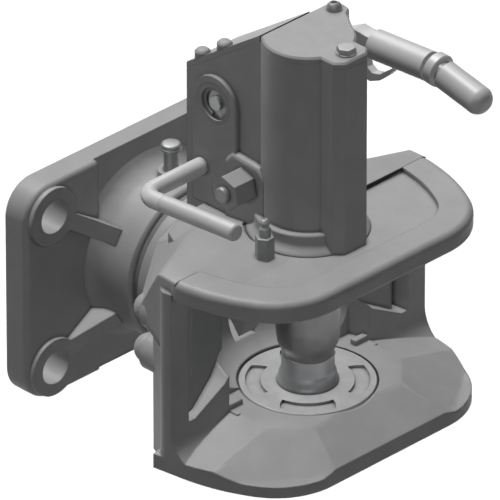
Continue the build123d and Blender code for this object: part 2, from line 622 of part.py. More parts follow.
def housing_parts():
    save("lift_housing", housing_casting())
    cover = extrude(Pos(0, 0, tower_top_z) * cover_plan(), amount=cover_thick)
    cover = chamfer(cover.faces().sort_by(Axis.Z)[-1].edges(), 1.2)
    cover -= rod_z(column_x, 0, 0, 300, column_bolt_r + 0.2)
    cover -= rod_z(lug_x, lug_y, 0, 300, 3.2)
    save("tower_cover", cover)
    rise = (tower_top_z - housing_rear_z) / (slope_end_x - housing_rear_x)
    thick = cover_thick
    slope = [(housing_rear_x, housing_rear_z), (slope_end_x - 0.1, tower_top_z - 0.1 * rise),
             (slope_end_x - 0.1, cover_top_z - 0.1 * rise), (housing_rear_x, housing_rear_z + thick)]
    lid = side_prism(slope, -housing_half, housing_half)
    for x in rear_screw_x:
        lid -= rod_z(x, rear_screw_y, 100, 300, 2.7)
    save("rear_cover", lid)
    bolt = rod_z(column_x, 0, jaw_roof_z + 1, cover_top_z + 1, column_bolt_r)
    bolt += rod_z(column_x, 0, cover_top_z, cover_top_z + 1, 5.8)
    bolt += hexagon_z(column_x, 0, cover_top_z, cover_top_z + 4.5, 10)
    save("column_bolt", bolt)
    screw = turned_z(lug_x, lug_y, [(0, tower_top_z - 12), (3, tower_top_z - 12), (3, cover_top_z),
                                    (4.6, cover_top_z), (4.6, cover_top_z + 1.6), (4, cover_top_z + 3.2),
                                    (2.6, cover_top_z + 4.2), (0, cover_top_z + 4.6)])
    save("lug_screw", screw)
    bolts = []
    for x in rear_screw_x:
        seat = housing_rear_z + thick + (x - housing_rear_x) * rise
        head = turned_z(x, rear_screw_y, [(0, seat - 13), (rear_screw_head_r, seat - 13),
                                          (rear_screw_head_r, seat + 3), (rear_screw_head_r - 1.4, seat + 4.4),
                                          (0, seat + 5)])
        head -= side_prism([(x - 9, seat - 9 * rise), (x + 9, seat + 9 * rise), (x + 9, seat - 40),
                            (x - 9, seat - 40)], -90, 90)
        bolt = rod_z(x, rear_screw_y, seat - 13, seat + 1, 2.5) + head
        bolts.append(bolt)
    save("rear_cover_screws", group(bolts))
    screws = []
    for side in sides:
        seat = jaw_deck_z + 4
        screw = rod_z(floor_screw_x, side * floor_screw_y, jaw_roof_z + 1.5, seat + 1, column_bolt_r)
        screw += hexagon_z(floor_screw_x, side * floor_screw_y, seat, seat + 5.5, 11)
        screws.append(screw)
    save("floor_screws", group(screws))


# Lift shaft with its arm, cam disc, bushes, spring and hand lever
def lift_parts():
    inner = housing_half - housing_wall
    outer = housing_half + arch_rise
    ring_y = -outer + 1.4
    ring_r = shaft_r + 1.0
    shaft_end_y = ring_y + clip_thick + face_gap
    shaft = rod_y(shaft_end_y, lever_y + lever_thick / 2 + 3, shaft_x, shaft_z, shaft_r)
    shaft += rod_y(-outer + 0.5, shaft_end_y + 1, shaft_x, shaft_z, 4.4)
    save("lift_shaft", shaft)
    clip = rod_y(ring_y, ring_y + clip_thick, shaft_x, shaft_z, ring_r)
    clip -= rod_y(-90, 90, shaft_x, shaft_z, shaft_r - 2)
    clip -= block(shaft_x - 3, shaft_x + 3, -90, 0, shaft_z - 20, shaft_z)
    save("shaft_circlip", clip)
    bushes = []
    for side, end in ((-1, outer), (1, outer + 1.5)):
        low, high = sorted((side * inner, side * end))
        bush = rod_y(low, high, shaft_x, shaft_z, shaft_r + shaft_bush_wall)
        bush -= rod_y(-90, 90, shaft_x, shaft_z, shaft_r + run_gap)
        bushes.append(bush)
    bushes[0] -= rod_y(ring_y - run_gap, ring_y + clip_thick + run_gap, shaft_x, shaft_z, ring_r + run_gap)
    save("shaft_bushes", group(bushes))
    hub = rod_y(-arm_half, arm_half, 0, 0, shaft_r + 5.5)
    bar = side_prism([(0, -13), (0, 13), (40, arm_half_height), (arm_reach - 3, arm_half_height),
                      (arm_reach, arm_half_height - 3), (arm_reach, -arm_half_height + 3),
                      (arm_reach - 3, -arm_half_height), (40, -arm_half_height)], -arm_half, arm_half)
    arm = hub + bar
    slot_start = pin_x - shaft_x - cross_pin_r - 3
    arm -= block(slot_start + arm_slot_half, arm_reach + 5, -20, 20, -arm_slot_half, arm_slot_half)
    arm -= rod_y(-20, 20, slot_start + arm_slot_half, 0, arm_slot_half)
    arm -= rod_y(-20, 20, 0, 0, shaft_r + 0.02)
    save("lift_arm", Pos(shaft_x, 0, shaft_z) * Rot(0, -arm_rest_deg, 0) * arm)
    cam = rod_y(-13.8, -arm_half - 0.2, shaft_x, shaft_z, cam_r)
    cam -= rod_y(-90, 90, shaft_x, shaft_z, shaft_r + 0.02)
    notch = Pos(shaft_x, 0, shaft_z) * Rot(0, 62, 0) * block(cam_r - 7, cam_r + 7, -20, 0, -5, 6)
    cam -= notch
    cam -= block(shaft_x - 50, shaft_x + 50, -20, 0, shaft_z + 14, shaft_z + 60)
    save("catch_disc", cam)
    save("closing_spring", coil_y(shaft_x, shaft_z, arm_half + 0.3, inner - 0.3, shaft_r + 2.0, 1.3, 2.5))
    save("hand_lever", hand_lever())
    save("lever_grip", lever_grip())
    save("grip_ring", grip_ring())
    save("grip_end", grip_end())
    washer_y = lever_y + lever_thick / 2
    washer = rod_y(washer_y, washer_y + 2.5, shaft_x, shaft_z, 15)
    washer -= rod_y(0, 90, shaft_x, shaft_z, shaft_r + run_gap)
    save("lever_washer", washer)


def along(start, end, from_start, to_end, r):
    dx = end[0] - start[0]
    dz = end[1] - start[1]
    length = math.hypot(dx, dz)
    ux, uz = dx / length, dz / length
    a = (start[0] + ux * from_start, start[1] + uz * from_start)
    b = (end[0] + ux * to_end, end[1] + uz * to_end)
    plane = Plane((a[0], grip_y, a[1]), z_dir=(ux, 0, uz))
    return extrude(plane * Circle(r), amount=math.hypot(b[0] - a[0], b[1] - a[1]))


def hand_lever():
    outer = housing_half + arch_rise
    y0 = lever_y - lever_thick / 2
    y1 = lever_y + lever_thick / 2
    hub = rod_y(outer + 2, y1, shaft_x, shaft_z, 14.5)
    arm = side_prism([(shaft_x - 7, shaft_z + 13), (shaft_x + 8, shaft_z - 12),
                      (grip_root[0] + 2, grip_root[1] - 9),
                      (grip_root[0] + 6, grip_root[1] - 6), (grip_root[0] + 6, grip_root[1] + 7),
                      (grip_root[0] - 6, grip_root[1] + 8)], y0, y1)
    claw_points = [(-7, -14), (-3, -20), (5, -22.5), (13, -19), (19, -14), (24.5, -8), (22, -7.8), (13, -15),
                   (7, -16.5), (3, -14), (1, -8)]
    claw = side_prism([(grip_root[0] + x, grip_root[1] + z) for x, z in claw_points], lever_y - 2.5,
                      lever_y + 2.5)
    lever = hub + arm + claw
    lever += along(grip_root, grip_knee, 0, 0, core_r)
    lever += Pos(grip_knee[0], grip_y, grip_knee[1]) * Sphere(core_r)
    lever += along(grip_knee, grip_tip, 0, 0, core_r)
    lever -= rod_y(0, 90, shaft_x, shaft_z, shaft_r + 0.02)
    return lever


def lever_grip():
    sleeve = along(grip_root, grip_knee, 6.5, -5.4, grip_r)
    sleeve -= along(grip_root, grip_knee, 0, 0, core_r + run_gap)
    return sleeve


def grip_ring():
    first = math.atan2(grip_knee[1] - grip_root[1], grip_knee[0] - grip_root[0])
    second = math.atan2(grip_tip[1] - grip_knee[1], grip_tip[0] - grip_knee[0])
    middle = (first + second) / 2
    half = 3.6
    back = (grip_knee[0] - half * math.cos(middle), grip_y, grip_knee[1] - half * math.sin(middle))
    plane = Plane(back, z_dir=(math.cos(middle), 0, math.sin(middle)))
    ring = extrude(plane * Circle(grip_r + 0.8), amount=2 * half)
    ring = chamfer(ring.edges().filter_by(GeomType.CIRCLE), 1)
    return ring - extrude(plane * Circle(core_r + 0.7), amount=2 * half)


def grip_end():
    end_r = grip_r - 0.4
    sleeve = along(grip_knee, grip_tip, 5.8, end_r, end_r)
    sleeve = fillet(sleeve.faces().sort_by(Axis.X)[-1].edges(), end_r - 1.5)
    return sleeve - along(grip_knee, grip_tip, 0, 0.1, core_r + run_gap)


# Release shaft with pawl and bent handle, trigger in the mouth, control pin
def release_parts():
    end_x = release_x + release_reach
    end_z = release_z + release_rise
    path = FilletPolyline((release_x, 12, release_z), (release_x, release_out_y, release_z),
                          (end_x, release_out_y, end_z), radius=11)
    rod = sweep(Plane(origin=(release_x, 12, release_z), z_dir=(0, -1, 0)) * Circle(release_r), path=path)
    plane, length = release_handle()
    rod -= extrude(plane * Circle(release_r + 2), amount=length + 9) - \
        extrude(plane * Circle(release_core_r), amount=length - 4)
    save("release_rod", rod)
    grip = extrude(plane * Circle(release_r), amount=length)
    grip = fillet(grip.faces().sort_by(Axis.X)[-1].edges(), 2.5)
    grip -= extrude(plane * Circle(release_core_r + run_gap), amount=length - 3.5)
    save("release_grip", grip)
    pawl_face = [(-6, 0), (-2.5, pawl_reach), (2, pawl_reach), (6, 0)]
    lean = math.degrees(math.atan2(shaft_x - release_x, shaft_z - release_z))
    pawl = Pos(release_x, 0, release_z) * Rot(0, lean, 0) * side_prism(pawl_face, -13.6, -7.2)
    pawl += block(release_x + 2.0, release_x + 6.5, -13.6, 5, release_z - 14.5, release_z - 8.6)
    pawl += block(release_x + 2.0, release_x + 6.5, -13.6, -7.2, release_z - 14.5, release_z - 5)
    pawl += rod_y(-13.6, -7.2, release_x, release_z, 8)
    pawl -= rod_y(-90, 90, release_x, release_z, release_r + 0.02)
    save("catch_pawl", pawl)
    save("pawl_spring", coil_y(release_x, release_z, -6.6, 0.5, release_r + 1.6, 0.9, 3))
    finger = [(-3.6, 0), (-3.6, 18), (-0.8, 31), (3.2, 31), (3.2, 20), (7, 0), (20, -64), (16, -72),
              (10, -64),
              (-6, -12)]
    trigger = side_prism([(trigger_x + x, trigger_z + z) for x, z in finger], -trigger_half, trigger_half)
    trigger += rod_y(-trigger_half, trigger_half, trigger_x, trigger_z, 8)
    trigger -= rod_y(-90, 90, trigger_x, trigger_z, trigger_pin_r + run_gap)
    save("mouth_trigger", trigger)
    save("trigger_pin", rod_y(-21.5, 21.5, trigger_x, trigger_z, trigger_pin_r))
    face_y = -housing_half - 4.5
    hex_y = face_y - control_hex_length
    guide = hexagon_y(hex_y, face_y, control_x, control_z, control_hex, control_hex_turn)
    guide += rod_y(face_y - 1, -housing_half + housing_wall, control_x, control_z, control_thread_r - run_gap)
    guide -= rod_y(-90, 0, control_x, control_z, control_r + run_gap)
    guide -= rod_y(hex_y + 4, 0, control_x, control_z, control_chamber_r)
    save("control_guide", guide)
    control = rod_y(hex_y - 3.6, -7.9, control_x, control_z, control_r)
    control += rod_y(hex_y - 3.6, hex_y - face_gap, control_x, control_z, control_r + 1)
    control += rod_y(-19, -16.5, control_x, control_z, control_chamber_r - face_gap)
    control = fillet(control.faces().sort_by(Axis.Y)[0].edges(), 1.6)
    save("control_pin", control)
    save("control_spring", coil_y(control_x, control_z, hex_y + 4.2, -19.2, control_r + 1.2, 0.7, 5))


def release_handle():
    start_x = release_x + 18
    slope = math.atan2(release_rise, release_reach)
    start_z = release_z + release_rise * (start_x - release_x) / release_reach
    plane = Plane((start_x, release_out_y, start_z), z_dir=(math.cos(slope), 0, math.sin(slope)))
    return plane, (release_reach - 18) / math.cos(slope)


os.makedirs("parts", exist_ok=True)
neck_parts()
jaw_parts()
pin_parts()
housing_parts()
lift_parts()
release_parts()
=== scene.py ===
import bpy
import bmesh
import math
from mathutils import Matrix, Vector


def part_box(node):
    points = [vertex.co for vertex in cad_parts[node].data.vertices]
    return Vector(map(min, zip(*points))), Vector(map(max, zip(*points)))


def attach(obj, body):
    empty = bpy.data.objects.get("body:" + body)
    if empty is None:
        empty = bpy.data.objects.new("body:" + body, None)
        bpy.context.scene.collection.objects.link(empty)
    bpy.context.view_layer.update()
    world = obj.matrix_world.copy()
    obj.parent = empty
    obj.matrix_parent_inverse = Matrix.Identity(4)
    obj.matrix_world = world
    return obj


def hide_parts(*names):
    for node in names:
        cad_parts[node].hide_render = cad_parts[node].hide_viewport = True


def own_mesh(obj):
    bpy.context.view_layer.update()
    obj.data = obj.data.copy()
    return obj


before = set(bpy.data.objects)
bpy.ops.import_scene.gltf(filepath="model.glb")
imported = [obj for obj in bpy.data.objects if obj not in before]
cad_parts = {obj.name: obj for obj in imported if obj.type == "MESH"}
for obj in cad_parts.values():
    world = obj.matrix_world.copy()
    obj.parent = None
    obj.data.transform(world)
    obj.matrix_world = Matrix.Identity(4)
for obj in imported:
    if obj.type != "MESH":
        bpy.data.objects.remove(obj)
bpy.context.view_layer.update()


# Flange and neck
# One steel casting, shot blasted and powder coated in a satin neutral grey. The coat is thin, so the
# sand skin of the casting still shows through it as a fine pebbled grain with slow waves under it.
casting_colour = "#8f8f8f"
wave_grains = 14
wave_depth_mm, grain_depth_mm = 1.0, 0.4
# Most of a noise pattern's values lie in this span.
noise_span = (0.3, 0.7)
# Painted shade: inner corners get a darker colour, over a reach in millimetres and down to a share of the
# surface's colour, both given below.
corner_shade_mm = 3.5
corner_shade_tone = 0.22


def linear(hex_colour):
    """sRGB hex to the linear colour that a shader takes."""
    values = [int(hex_colour[i:i + 2], 16) / 255 for i in (1, 3, 5)]
    return [v / 12.92 if v <= 0.04045 else ((v + 0.055) / 1.055) ** 2.4 for v in values] + [1.0]


def add_node(tree, kind, inputs=None, **settings):
    """Adds one shader node with its settings. An input is a number, a colour or another node's output."""
    made = tree.nodes.new("ShaderNode" + kind)
    for name, value in settings.items():
        setattr(made, name, value)
    for name, value in (inputs or {}).items():
        if isinstance(value, bpy.types.NodeSocket):
            tree.links.new(value, made.inputs[name])
        else:
            made.inputs[name].default_value = value
    return made


def new_material(name):
    """An empty material and its node tree."""
    material = bpy.data.materials.new(name)
    material.use_nodes = True
    material.node_tree.nodes.clear()
    return material, material.node_tree


def tinted(tree, colour, pattern, dim, bright, span=noise_span):
    """A hex colour times a pattern, which runs from dim to bright over the span of its values."""
    tone = add_node(tree, "MapRange", {"Value": pattern, "From Min": span[0], "From Max": span[1],
                                       "To Min": dim, "To Max": bright})
    tint = add_node(tree, "MixRGB", {"Fac": 1.0, "Color1": linear(colour), "Color2": tone.outputs["Result"]},
                    blend_type="MULTIPLY")
    return tint.outputs["Color"]


def painted_corner_shade(tree, colour):
    """A surface's colour with painted shade in its inner corners, found by ambient occlusion."""
    # Ambient occlusion paints shade into the colour in the corners.
    corner = add_node(tree, "AmbientOcclusion", {"Distance": corner_shade_mm / 1000}, samples=8)
    shade_share = add_node(tree, "MapRange", {"Value": corner.outputs["AO"], "From Min": 0.3, "From Max": 0.9,
                                        "To Min": corner_shade_tone, "To Max": 1.0})
    shaded_colour = add_node(tree, "MixRGB", {"Fac": 1.0, "Color1": colour, "Color2": shade_share.outputs["Result"]},
                        blend_type="MULTIPLY")
    return shaded_colour.outputs["Color"]


def coated_steel(name, colour, grain_mm, grain, wave, edge_mm, rough=(0.42, 0.56), gloss_level=0.25):
    """Powder coat over steel, satin and neutral. The grain is the steel's skin, edge_mm its rounded edges.

    Its colour is darkened with painted shade in the inner corners."""
    material, tree = new_material(name)
    place = add_node(tree, "TexCoord").outputs["Object"]
    pebbles = add_node(tree, "TexNoise", {"Vector": place, "Scale": 1000 / grain_mm, "Detail": 3.0,
                                          "Roughness": 0.6})
    waves = add_node(tree, "TexNoise", {"Vector": place, "Scale": 1000 / (grain_mm * wave_grains),
                                        "Detail": 2.0})
    shade = tinted(tree, colour, waves.outputs["Fac"], 0.95, 1.04)
    edge = add_node(tree, "Bevel", {"Radius": edge_mm / 1000}, samples=6)
    slow = add_node(tree, "Bump", {"Height": waves.outputs["Fac"], "Strength": wave,
                                   "Distance": wave_depth_mm / 1000, "Normal": edge.outputs["Normal"]})
    fine = add_node(tree, "Bump", {"Height": pebbles.outputs["Fac"], "Strength": grain,
                                   "Distance": grain_depth_mm / 1000, "Normal": slow.outputs["Normal"]})
    gloss = add_node(tree, "MapRange", {"Value": pebbles.outputs["Fac"], "From Min": noise_span[0],
                                        "From Max": noise_span[1], "To Min": rough[0], "To Max": rough[1]})
    # The base colour carries painted shade in the inner corners.
    surface = add_node(tree, "BsdfPrincipled", {"Base Color": painted_corner_shade(tree, shade),
                                                "Roughness": gloss.outputs["Result"],
                                                "Normal": fine.outputs["Normal"], "IOR": 1.5,
                                                "Specular IOR Level": gloss_level})
    add_node(tree, "OutputMaterial", {"Surface": surface.outputs["BSDF"]})
    return material


def object_of(bm, name, material, crease_deg):
    """Makes an object of a bmesh, smooth but for its sharp edges."""
    for face in bm.faces:
        face.smooth = True
        face.material_index = 0
    for edge in bm.edges:
        edge.smooth = len(edge.link_faces) == 2 and edge.calc_face_angle(0) < math.radians(crease_deg)
    mesh = bpy.data.meshes.new(name)
    bm.to_mesh(mesh)
    bm.free()
    mesh.materials.append(material)
    made = bpy.data.objects.new(name, mesh)
    bpy.context.scene.collection.objects.link(made)
    return made


def shown(bm, name, node, body, material, crease_deg):
    """Makes a piece of a bmesh and rides it in place of its node."""
    piece = object_of(bm, name, material, crease_deg)
    weights = piece.modifiers.new("weights", "WEIGHTED_NORMAL")
    weights.keep_sharp = True
    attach(piece, body)
    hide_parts(node)
    return piece


def finished(node, body, material, crease_deg=34):
    """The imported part's own mesh, merged and smooth over its curves, with its finish on it."""
    bm = bmesh.new()
    bm.from_mesh(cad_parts[node].data)
    bmesh.ops.remove_doubles(bm, verts=bm.verts, dist=2e-6)
    return shown(bm, node + "_skin", node, body, material, crease_deg)


cast_coat = coated_steel("powder_coated_cast_steel", casting_colour, grain_mm=1.3, grain=0.22, wave=0.28,
                         edge_mm=1.8)
finished("flange_casting", "flange", cast_coat)


# Grease fitting on the neck
# A turned fitting, screwed into the boss on top of the neck, with a push-on cap. Its zinc flake coat
# gives a matt silver grey, faintly cloudy, with broad soft reflections.
zinc_colour = "#8e8f90"
cloud_mm = 3.85
fitting_foot_mm = 8.0
fitting_screw_r, fitting_stem_r, fitting_cap_r = 3.0, 4.4, 6.0
spin_steps = 48


def zinc_flaked_steel(name, colour, rough):
    """Zinc flake coat on turned steel: a matt silver grey, faintly cloudy, with broad reflections."""
    material, tree = new_material(name)
    place = add_node(tree, "TexCoord").outputs["Object"]
    cloud = add_node(tree, "TexNoise", {"Vector": place, "Scale": 1000 / cloud_mm, "Detail": 4.0,
                                        "Roughness": 0.6})
    gloss = add_node(tree, "MapRange", {"Value": cloud.outputs["Fac"], "From Min": noise_span[0],
                                        "From Max": noise_span[1], "To Min": rough - 0.06,
                                        "To Max": rough + 0.08})
    edge = add_node(tree, "Bevel", {"Radius": 0.0003}, samples=4)
    skin = add_node(tree, "Bump", {"Height": cloud.outputs["Fac"], "Strength": 0.06, "Distance": 0.0003,
                                   "Normal": edge.outputs["Normal"]})
    surface = add_node(tree, "BsdfPrincipled", {
        "Base Color": tinted(tree, colour, cloud.outputs["Fac"], 0.86, 1.05), "Metallic": 0.4,
        "Roughness": gloss.outputs["Result"], "Normal": skin.outputs["Normal"]})
    add_node(tree, "OutputMaterial", {"Surface": surface.outputs["BSDF"]})
    return material


def spin_into(bm, profile, centre):
    """Spins a profile of radius and height pairs, in millimetres, round Z and sets it at a centre."""
    before = set(bm.verts)
    points = [bm.verts.new((r / 1000, 0, h / 1000)) for r, h in profile]
    rims = [bm.edges.new(pair) for pair in zip(points, points[1:])]
    bmesh.ops.spin(bm, geom=points + rims, cent=(0, 0, 0), axis=(0, 0, 1), dvec=(0, 0, 0),
                   angle=2 * math.pi, steps=spin_steps, use_merge=True, use_duplicate=False)
    made = [v for v in bm.verts if v not in before]
    bmesh.ops.translate(bm, verts=made, vec=centre)
    bmesh.ops.remove_doubles(bm, verts=made, dist=1e-6)


def closed(bm):
    """Turns every face of a new shape outwards."""
    bmesh.ops.recalc_face_normals(bm, faces=bm.faces)
    return bm


def axis_point(node, height):
    """The middle of a node's box in plan, at a height."""
    low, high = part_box(node)
    return Vector(((low.x + high.x) / 2, (low.y + high.y) / 2, height))


zinc = zinc_flaked_steel("zinc_flake_coated_steel", zinc_colour, 0.46)
fitting_low, fitting_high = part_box("neck_grease_plug")
fitting_seat = fitting_low.z + fitting_foot_mm / 1000
stem = (fitting_high.z - fitting_seat) * 1000
bm = bmesh.new()
spin_into(bm, [(0, -fitting_foot_mm), (fitting_screw_r, -fitting_foot_mm), (fitting_screw_r, 0),
               (fitting_stem_r + 0.5, 0), (fitting_stem_r + 0.5, 1), (fitting_stem_r, 1.8),
               (fitting_stem_r, stem - 5.2), (fitting_cap_r - 1.0, stem - 4.8), (fitting_cap_r, stem - 4.2),
               (fitting_cap_r, stem - 3.2), (fitting_cap_r - 0.3, stem - 3.0),
               (fitting_cap_r - 0.3, stem - 2.6), (fitting_cap_r, stem - 2.4), (fitting_cap_r, stem - 1.2),
               (fitting_cap_r - 0.6, stem - 0.4), (fitting_cap_r - 1.8, stem), (0, stem)],
          axis_point("neck_grease_plug", fitting_seat))
shown(closed(bm), "neck_fitting", "neck_grease_plug", "flange", zinc, crease_deg=38)


# Seal rings of the neck and the pin
# A moulded rubber ring fills the gap between the neck and the swivelling head, and a smaller one wipes
# the coupling pin. Rubber is dark and dull, with a fine matt skin from the mould.
rubber_skin_mm = 0.714
rubber_bloom_mm = 11.1


def moulded_rubber(name, colour):
    """Moulded rubber: dark, dull, with a fine matt skin."""
    material, tree = new_material(name)
    place = add_node(tree, "TexCoord").outputs["Object"]
    skin = add_node(tree, "TexNoise", {"Vector": place, "Scale": 1000 / rubber_skin_mm, "Detail": 2.0})
    bloom = add_node(tree, "TexNoise", {"Vector": place, "Scale": 1000 / rubber_bloom_mm, "Detail": 3.0})
    bump = add_node(tree, "Bump", {"Height": skin.outputs["Fac"], "Strength": 0.15, "Distance": 0.0002})
    surface = add_node(tree, "BsdfPrincipled", {
        "Base Color": tinted(tree, colour, bloom.outputs["Fac"], 0.85, 1.2), "Roughness": 0.68,
        "Normal": bump.outputs["Normal"], "IOR": 1.52})
    add_node(tree, "OutputMaterial", {"Surface": surface.outputs["BSDF"]})
    return material


rubber = moulded_rubber("moulded_nitrile_rubber", "#5e5e5e")
finished("neck_seal", "flange", rubber)
finished("pin_wiper", "head", rubber)


# Swivel bearing inside the neck
# A sintered bronze bush carries the trunnion. A castle nut on a hardened washer holds it, locked by a
# split pin, and a pressed steel cap closes the flange's back over them.
bronze_pore_mm = 0.625
grease_cloud_mm = 8.33


def sintered_bronze(name, colour):
    """Sintered bronze: warm, dull metal, speckled with oil-filled pores, drawn coarser than real."""
    material, tree = new_material(name)
    place = add_node(tree, "TexCoord").outputs["Object"]
    pores = add_node(tree, "TexVoronoi", {"Vector": place, "Scale": 1000 / bronze_pore_mm})
    bump = add_node(tree, "Bump", {"Height": pores.outputs["Distance"], "Strength": 0.2, "Distance": 0.0002})
    surface = add_node(tree, "BsdfPrincipled", {
        "Base Color": tinted(tree, colour, pores.outputs["Distance"], 0.72, 1.0, span=(0.1, 0.5)),
        "Metallic": 1.0, "Roughness": 0.46, "Normal": bump.outputs["Normal"]})
    add_node(tree, "OutputMaterial", {"Surface": surface.outputs["BSDF"]})
    return material


def turned_steel(name, colour, rough, groove_mm, groove, centre=(0, 0), rings=False):
    """Turned and hardened steel. The tool's marks are drawn coarser than real, so that they show.

    Its colour is darkened with painted shade in the inner corners."""
    material, tree = new_material(name)
    place = add_node(tree, "TexCoord").outputs["Object"]
    centred = add_node(tree, "Mapping", {"Vector": place, "Location": (-centre[0], -centre[1], 0)})
    # A wave texture of scale 1 has 20 / (2 pi) bands in a metre.
    wave_scale = 2 * math.pi / 20 / (groove_mm / 1000)
    marks = add_node(tree, "TexWave", {"Vector": centred.outputs["Vector"], "Scale": wave_scale,
                                       "Distortion": 0.4, "Detail": 1.0},
                     wave_type="RINGS" if rings else "BANDS", bands_direction="Z", rings_direction="Z")
    cloud = add_node(tree, "TexNoise", {"Vector": place, "Scale": 1000 / grease_cloud_mm, "Detail": 4.0})
    shade = tinted(tree, colour, cloud.outputs["Fac"], 0.9, 1.06)
    gloss = add_node(tree, "MapRange", {"Value": marks.outputs["Fac"], "From Min": 0.0, "From Max": 1.0,
                                        "To Min": rough - 0.04, "To Max": rough + 0.06})
    edge = add_node(tree, "Bevel", {"Radius": 0.0005}, samples=4)
    bump = add_node(tree, "Bump", {"Height": marks.outputs["Fac"], "Strength": groove, "Distance": 0.0002,
                                   "Normal": edge.outputs["Normal"]})
    # The base colour carries painted shade in the inner corners.
    surface = add_node(tree, "BsdfPrincipled", {"Base Color": painted_corner_shade(tree, shade), "Metallic": 0.7,
                                                "Roughness": gloss.outputs["Result"],
                                                "Normal": bump.outputs["Normal"]})
    add_node(tree, "OutputMaterial", {"Surface": surface.outputs["BSDF"]})
    return material


bronze = sintered_bronze("sintered_bronze", "#9d7f52")
hard_steel = turned_steel("turned_hardened_steel", "#7d7e7f", 0.42, groove_mm=0.9, groove=0.12)
sheet_coat = coated_steel("powder_coated_sheet_steel", casting_colour, grain_mm=0.7, grain=0.06, wave=0.1,
                          edge_mm=0.6, rough=(0.38, 0.5))
finished("swivel_bush", "flange", bronze)
finished("thrust_washer", "head", hard_steel)
finished("swivel_nut", "head", hard_steel)
finished("swivel_cotter", "head", zinc)
finished("rear_cap", "flange", sheet_coat)


# Jaw casting
# The head that swivels in the neck: trunnion, collar, back wall, lower jaw and upper jaw in one steel
# casting, with the same blasted and powder coated skin as the flange.
finished("jaw_casting", "head", cast_coat, crease_deg=27)


# Shoulders of the jaw
# Part of the same casting: behind the deck it falls away to the collar in flat facets, with a rounded
# outer edge. On the release rod's side a facet also ramps from the deck's rear edge down to its panel.
shoulder_ridge_mm = 65.05
shoulder_fall = 0.12
ramp_fall = 0.128
ridge_back_mm, ridge_front_mm = 127.0, 141.0
facet_thickness_mm = 5.5
inner_foot_mm = 44.0
shoulder_edge_mm = 2.4
shoulder_crease_deg = 24

# A facet's corners are places in plan, and a foot has its height as well, all in millimetres.
fall_facet = [(96, -22), (117, -22), (118.5, -26.5), (127, -33.5), (127, -102.2), (103, -56)]
ridge_facet = [(127, -33.5), (135, -37), (141, -37.8), (141, -84.5), (141, -102.7), (127, -102.2)]
ramp_facet = [(141, -37.8), (146, -38), (157, -36), (166, -31.5), (166, -56), (166, -80), (141, -84.5)]
short_ridge_facet = [(127, -33.5), (139, -36.8), (139, -102.5), (127, -102.2)]
outer_feet = {(96, -22): (62, -18, 45.4), (103, -56): (62, -39.5, 34.5), (127, -102.2): (93, -86, 20),
              (141, -102.7): (130, -101, 14), (139, -102.5): (130, -101, 14)}
inner_corners = [(117, -22), (118.5, -26.5), (127, -33.5)]


def shoulder_height(x):
    """Height of the facets over their place along the line of travel, in millimetres."""
    return (shoulder_ridge_mm - max(0, ridge_back_mm - x) * shoulder_fall
            - max(0, x - ridge_front_mm) * ramp_fall)


def foot_of(corner):
    """Where a corner stands: out on the collar or the wall, deep beside the housing, or just below."""
    x, y = corner
    if corner in inner_corners:
        return x, y, inner_foot_mm
    return outer_feet.get(corner, (x, y, shoulder_height(x) - facet_thickness_mm))


def shoulder(name, side, facets):
    """A solid under flat facets with a rounded outer edge. Side is 1 as they are drawn, -1 mirrored."""
    bm = bmesh.new()
    corners = {}
    for facet in facets:
        for x, y in facet:
            if (x, y) not in corners:
                corners[x, y] = bm.verts.new((x / 1000, side * y / 1000, shoulder_height(x) / 1000))
        bm.faces.new([corners[corner] for corner in facet])
    outer = {corners[corner] for corner in outer_feet if corner in corners}
    rounded = [e for e in bm.edges if outer.issuperset(e.verts)]
    grown = bmesh.ops.extrude_face_region(bm, geom=bm.faces[:], use_keep_orig=True)
    for v in [g for g in grown["geom"] if isinstance(g, bmesh.types.BMVert)]:
        corner = min(corners, key=lambda place: (corners[place].co - v.co).length)
        x, y, z = foot_of(corner)
        v.co = (x / 1000, side * y / 1000, z / 1000)
    closed(bm)
    bmesh.ops.bevel(bm, geom=rounded, offset=shoulder_edge_mm / 1000, offset_type="OFFSET", affect="EDGES",
                    segments=4, profile=0.5, material=-1)
    piece = object_of(bm, name, cast_coat, shoulder_crease_deg)
    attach(piece, "head")


shoulder("shoulder_left", 1, [fall_facet, ridge_facet, ramp_facet])
shoulder("shoulder_right", -1, [fall_facet, short_ridge_facet])


# Stop pads and their bolts
# Two plates of wear steel at the back of the mouth, where the drawbar eye strikes, each held by two
# round-headed bolts through the back wall. Plates and bolts are coated with the casting.
pad_coat = coated_steel("powder_coated_wear_steel", "#868787", grain_mm=0.8, grain=0.1, wave=0.15,
                        edge_mm=0.8)
for side in ("left", "right"):
    finished("stop_pad_" + side, "head", pad_coat)
for side in ("left", "right"):
    finished("pad_bolts_" + side, "head", cast_coat, crease_deg=30)


# Wear plate and bushes of the pin
# The round plate in the lower jaw carries the drawbar eye. It is turned from hardened steel, with four
# sickle-shaped grease pockets, and the pin's end drops into the raised bush in its middle.
pin_centre = axis_point("coupling_pin", 0)
plate_steel = turned_steel("face_turned_wear_steel", "#adadae", 0.5, groove_mm=1.6, groove=0.1,
                           centre=pin_centre, rings=True)
ring_steel = turned_steel("turned_bush_steel", "#a3a4a5", 0.44, groove_mm=1.2, groove=0.12,
                          centre=pin_centre)
finished("wear_plate", "head", plate_steel)
finished("lower_bush", "head", ring_steel, crease_deg=28)
finished("upper_bush", "head", ring_steel)


# Coupling pin and cross pin
# A crowned pin of hardened and ground steel with a waist and a spigot below. Grinding leaves it smooth,
# with close faint rings round it. The cross pin in its clevis is plain ground bar.
ground_steel = turned_steel("ground_hardened_steel", "#7c7c7d", 0.42, groove_mm=1.1, groove=0.05,
                            centre=pin_centre)
finished("coupling_pin", "pin", ground_steel, crease_deg=28)
finished("cross_pin", "pin", ground_steel)


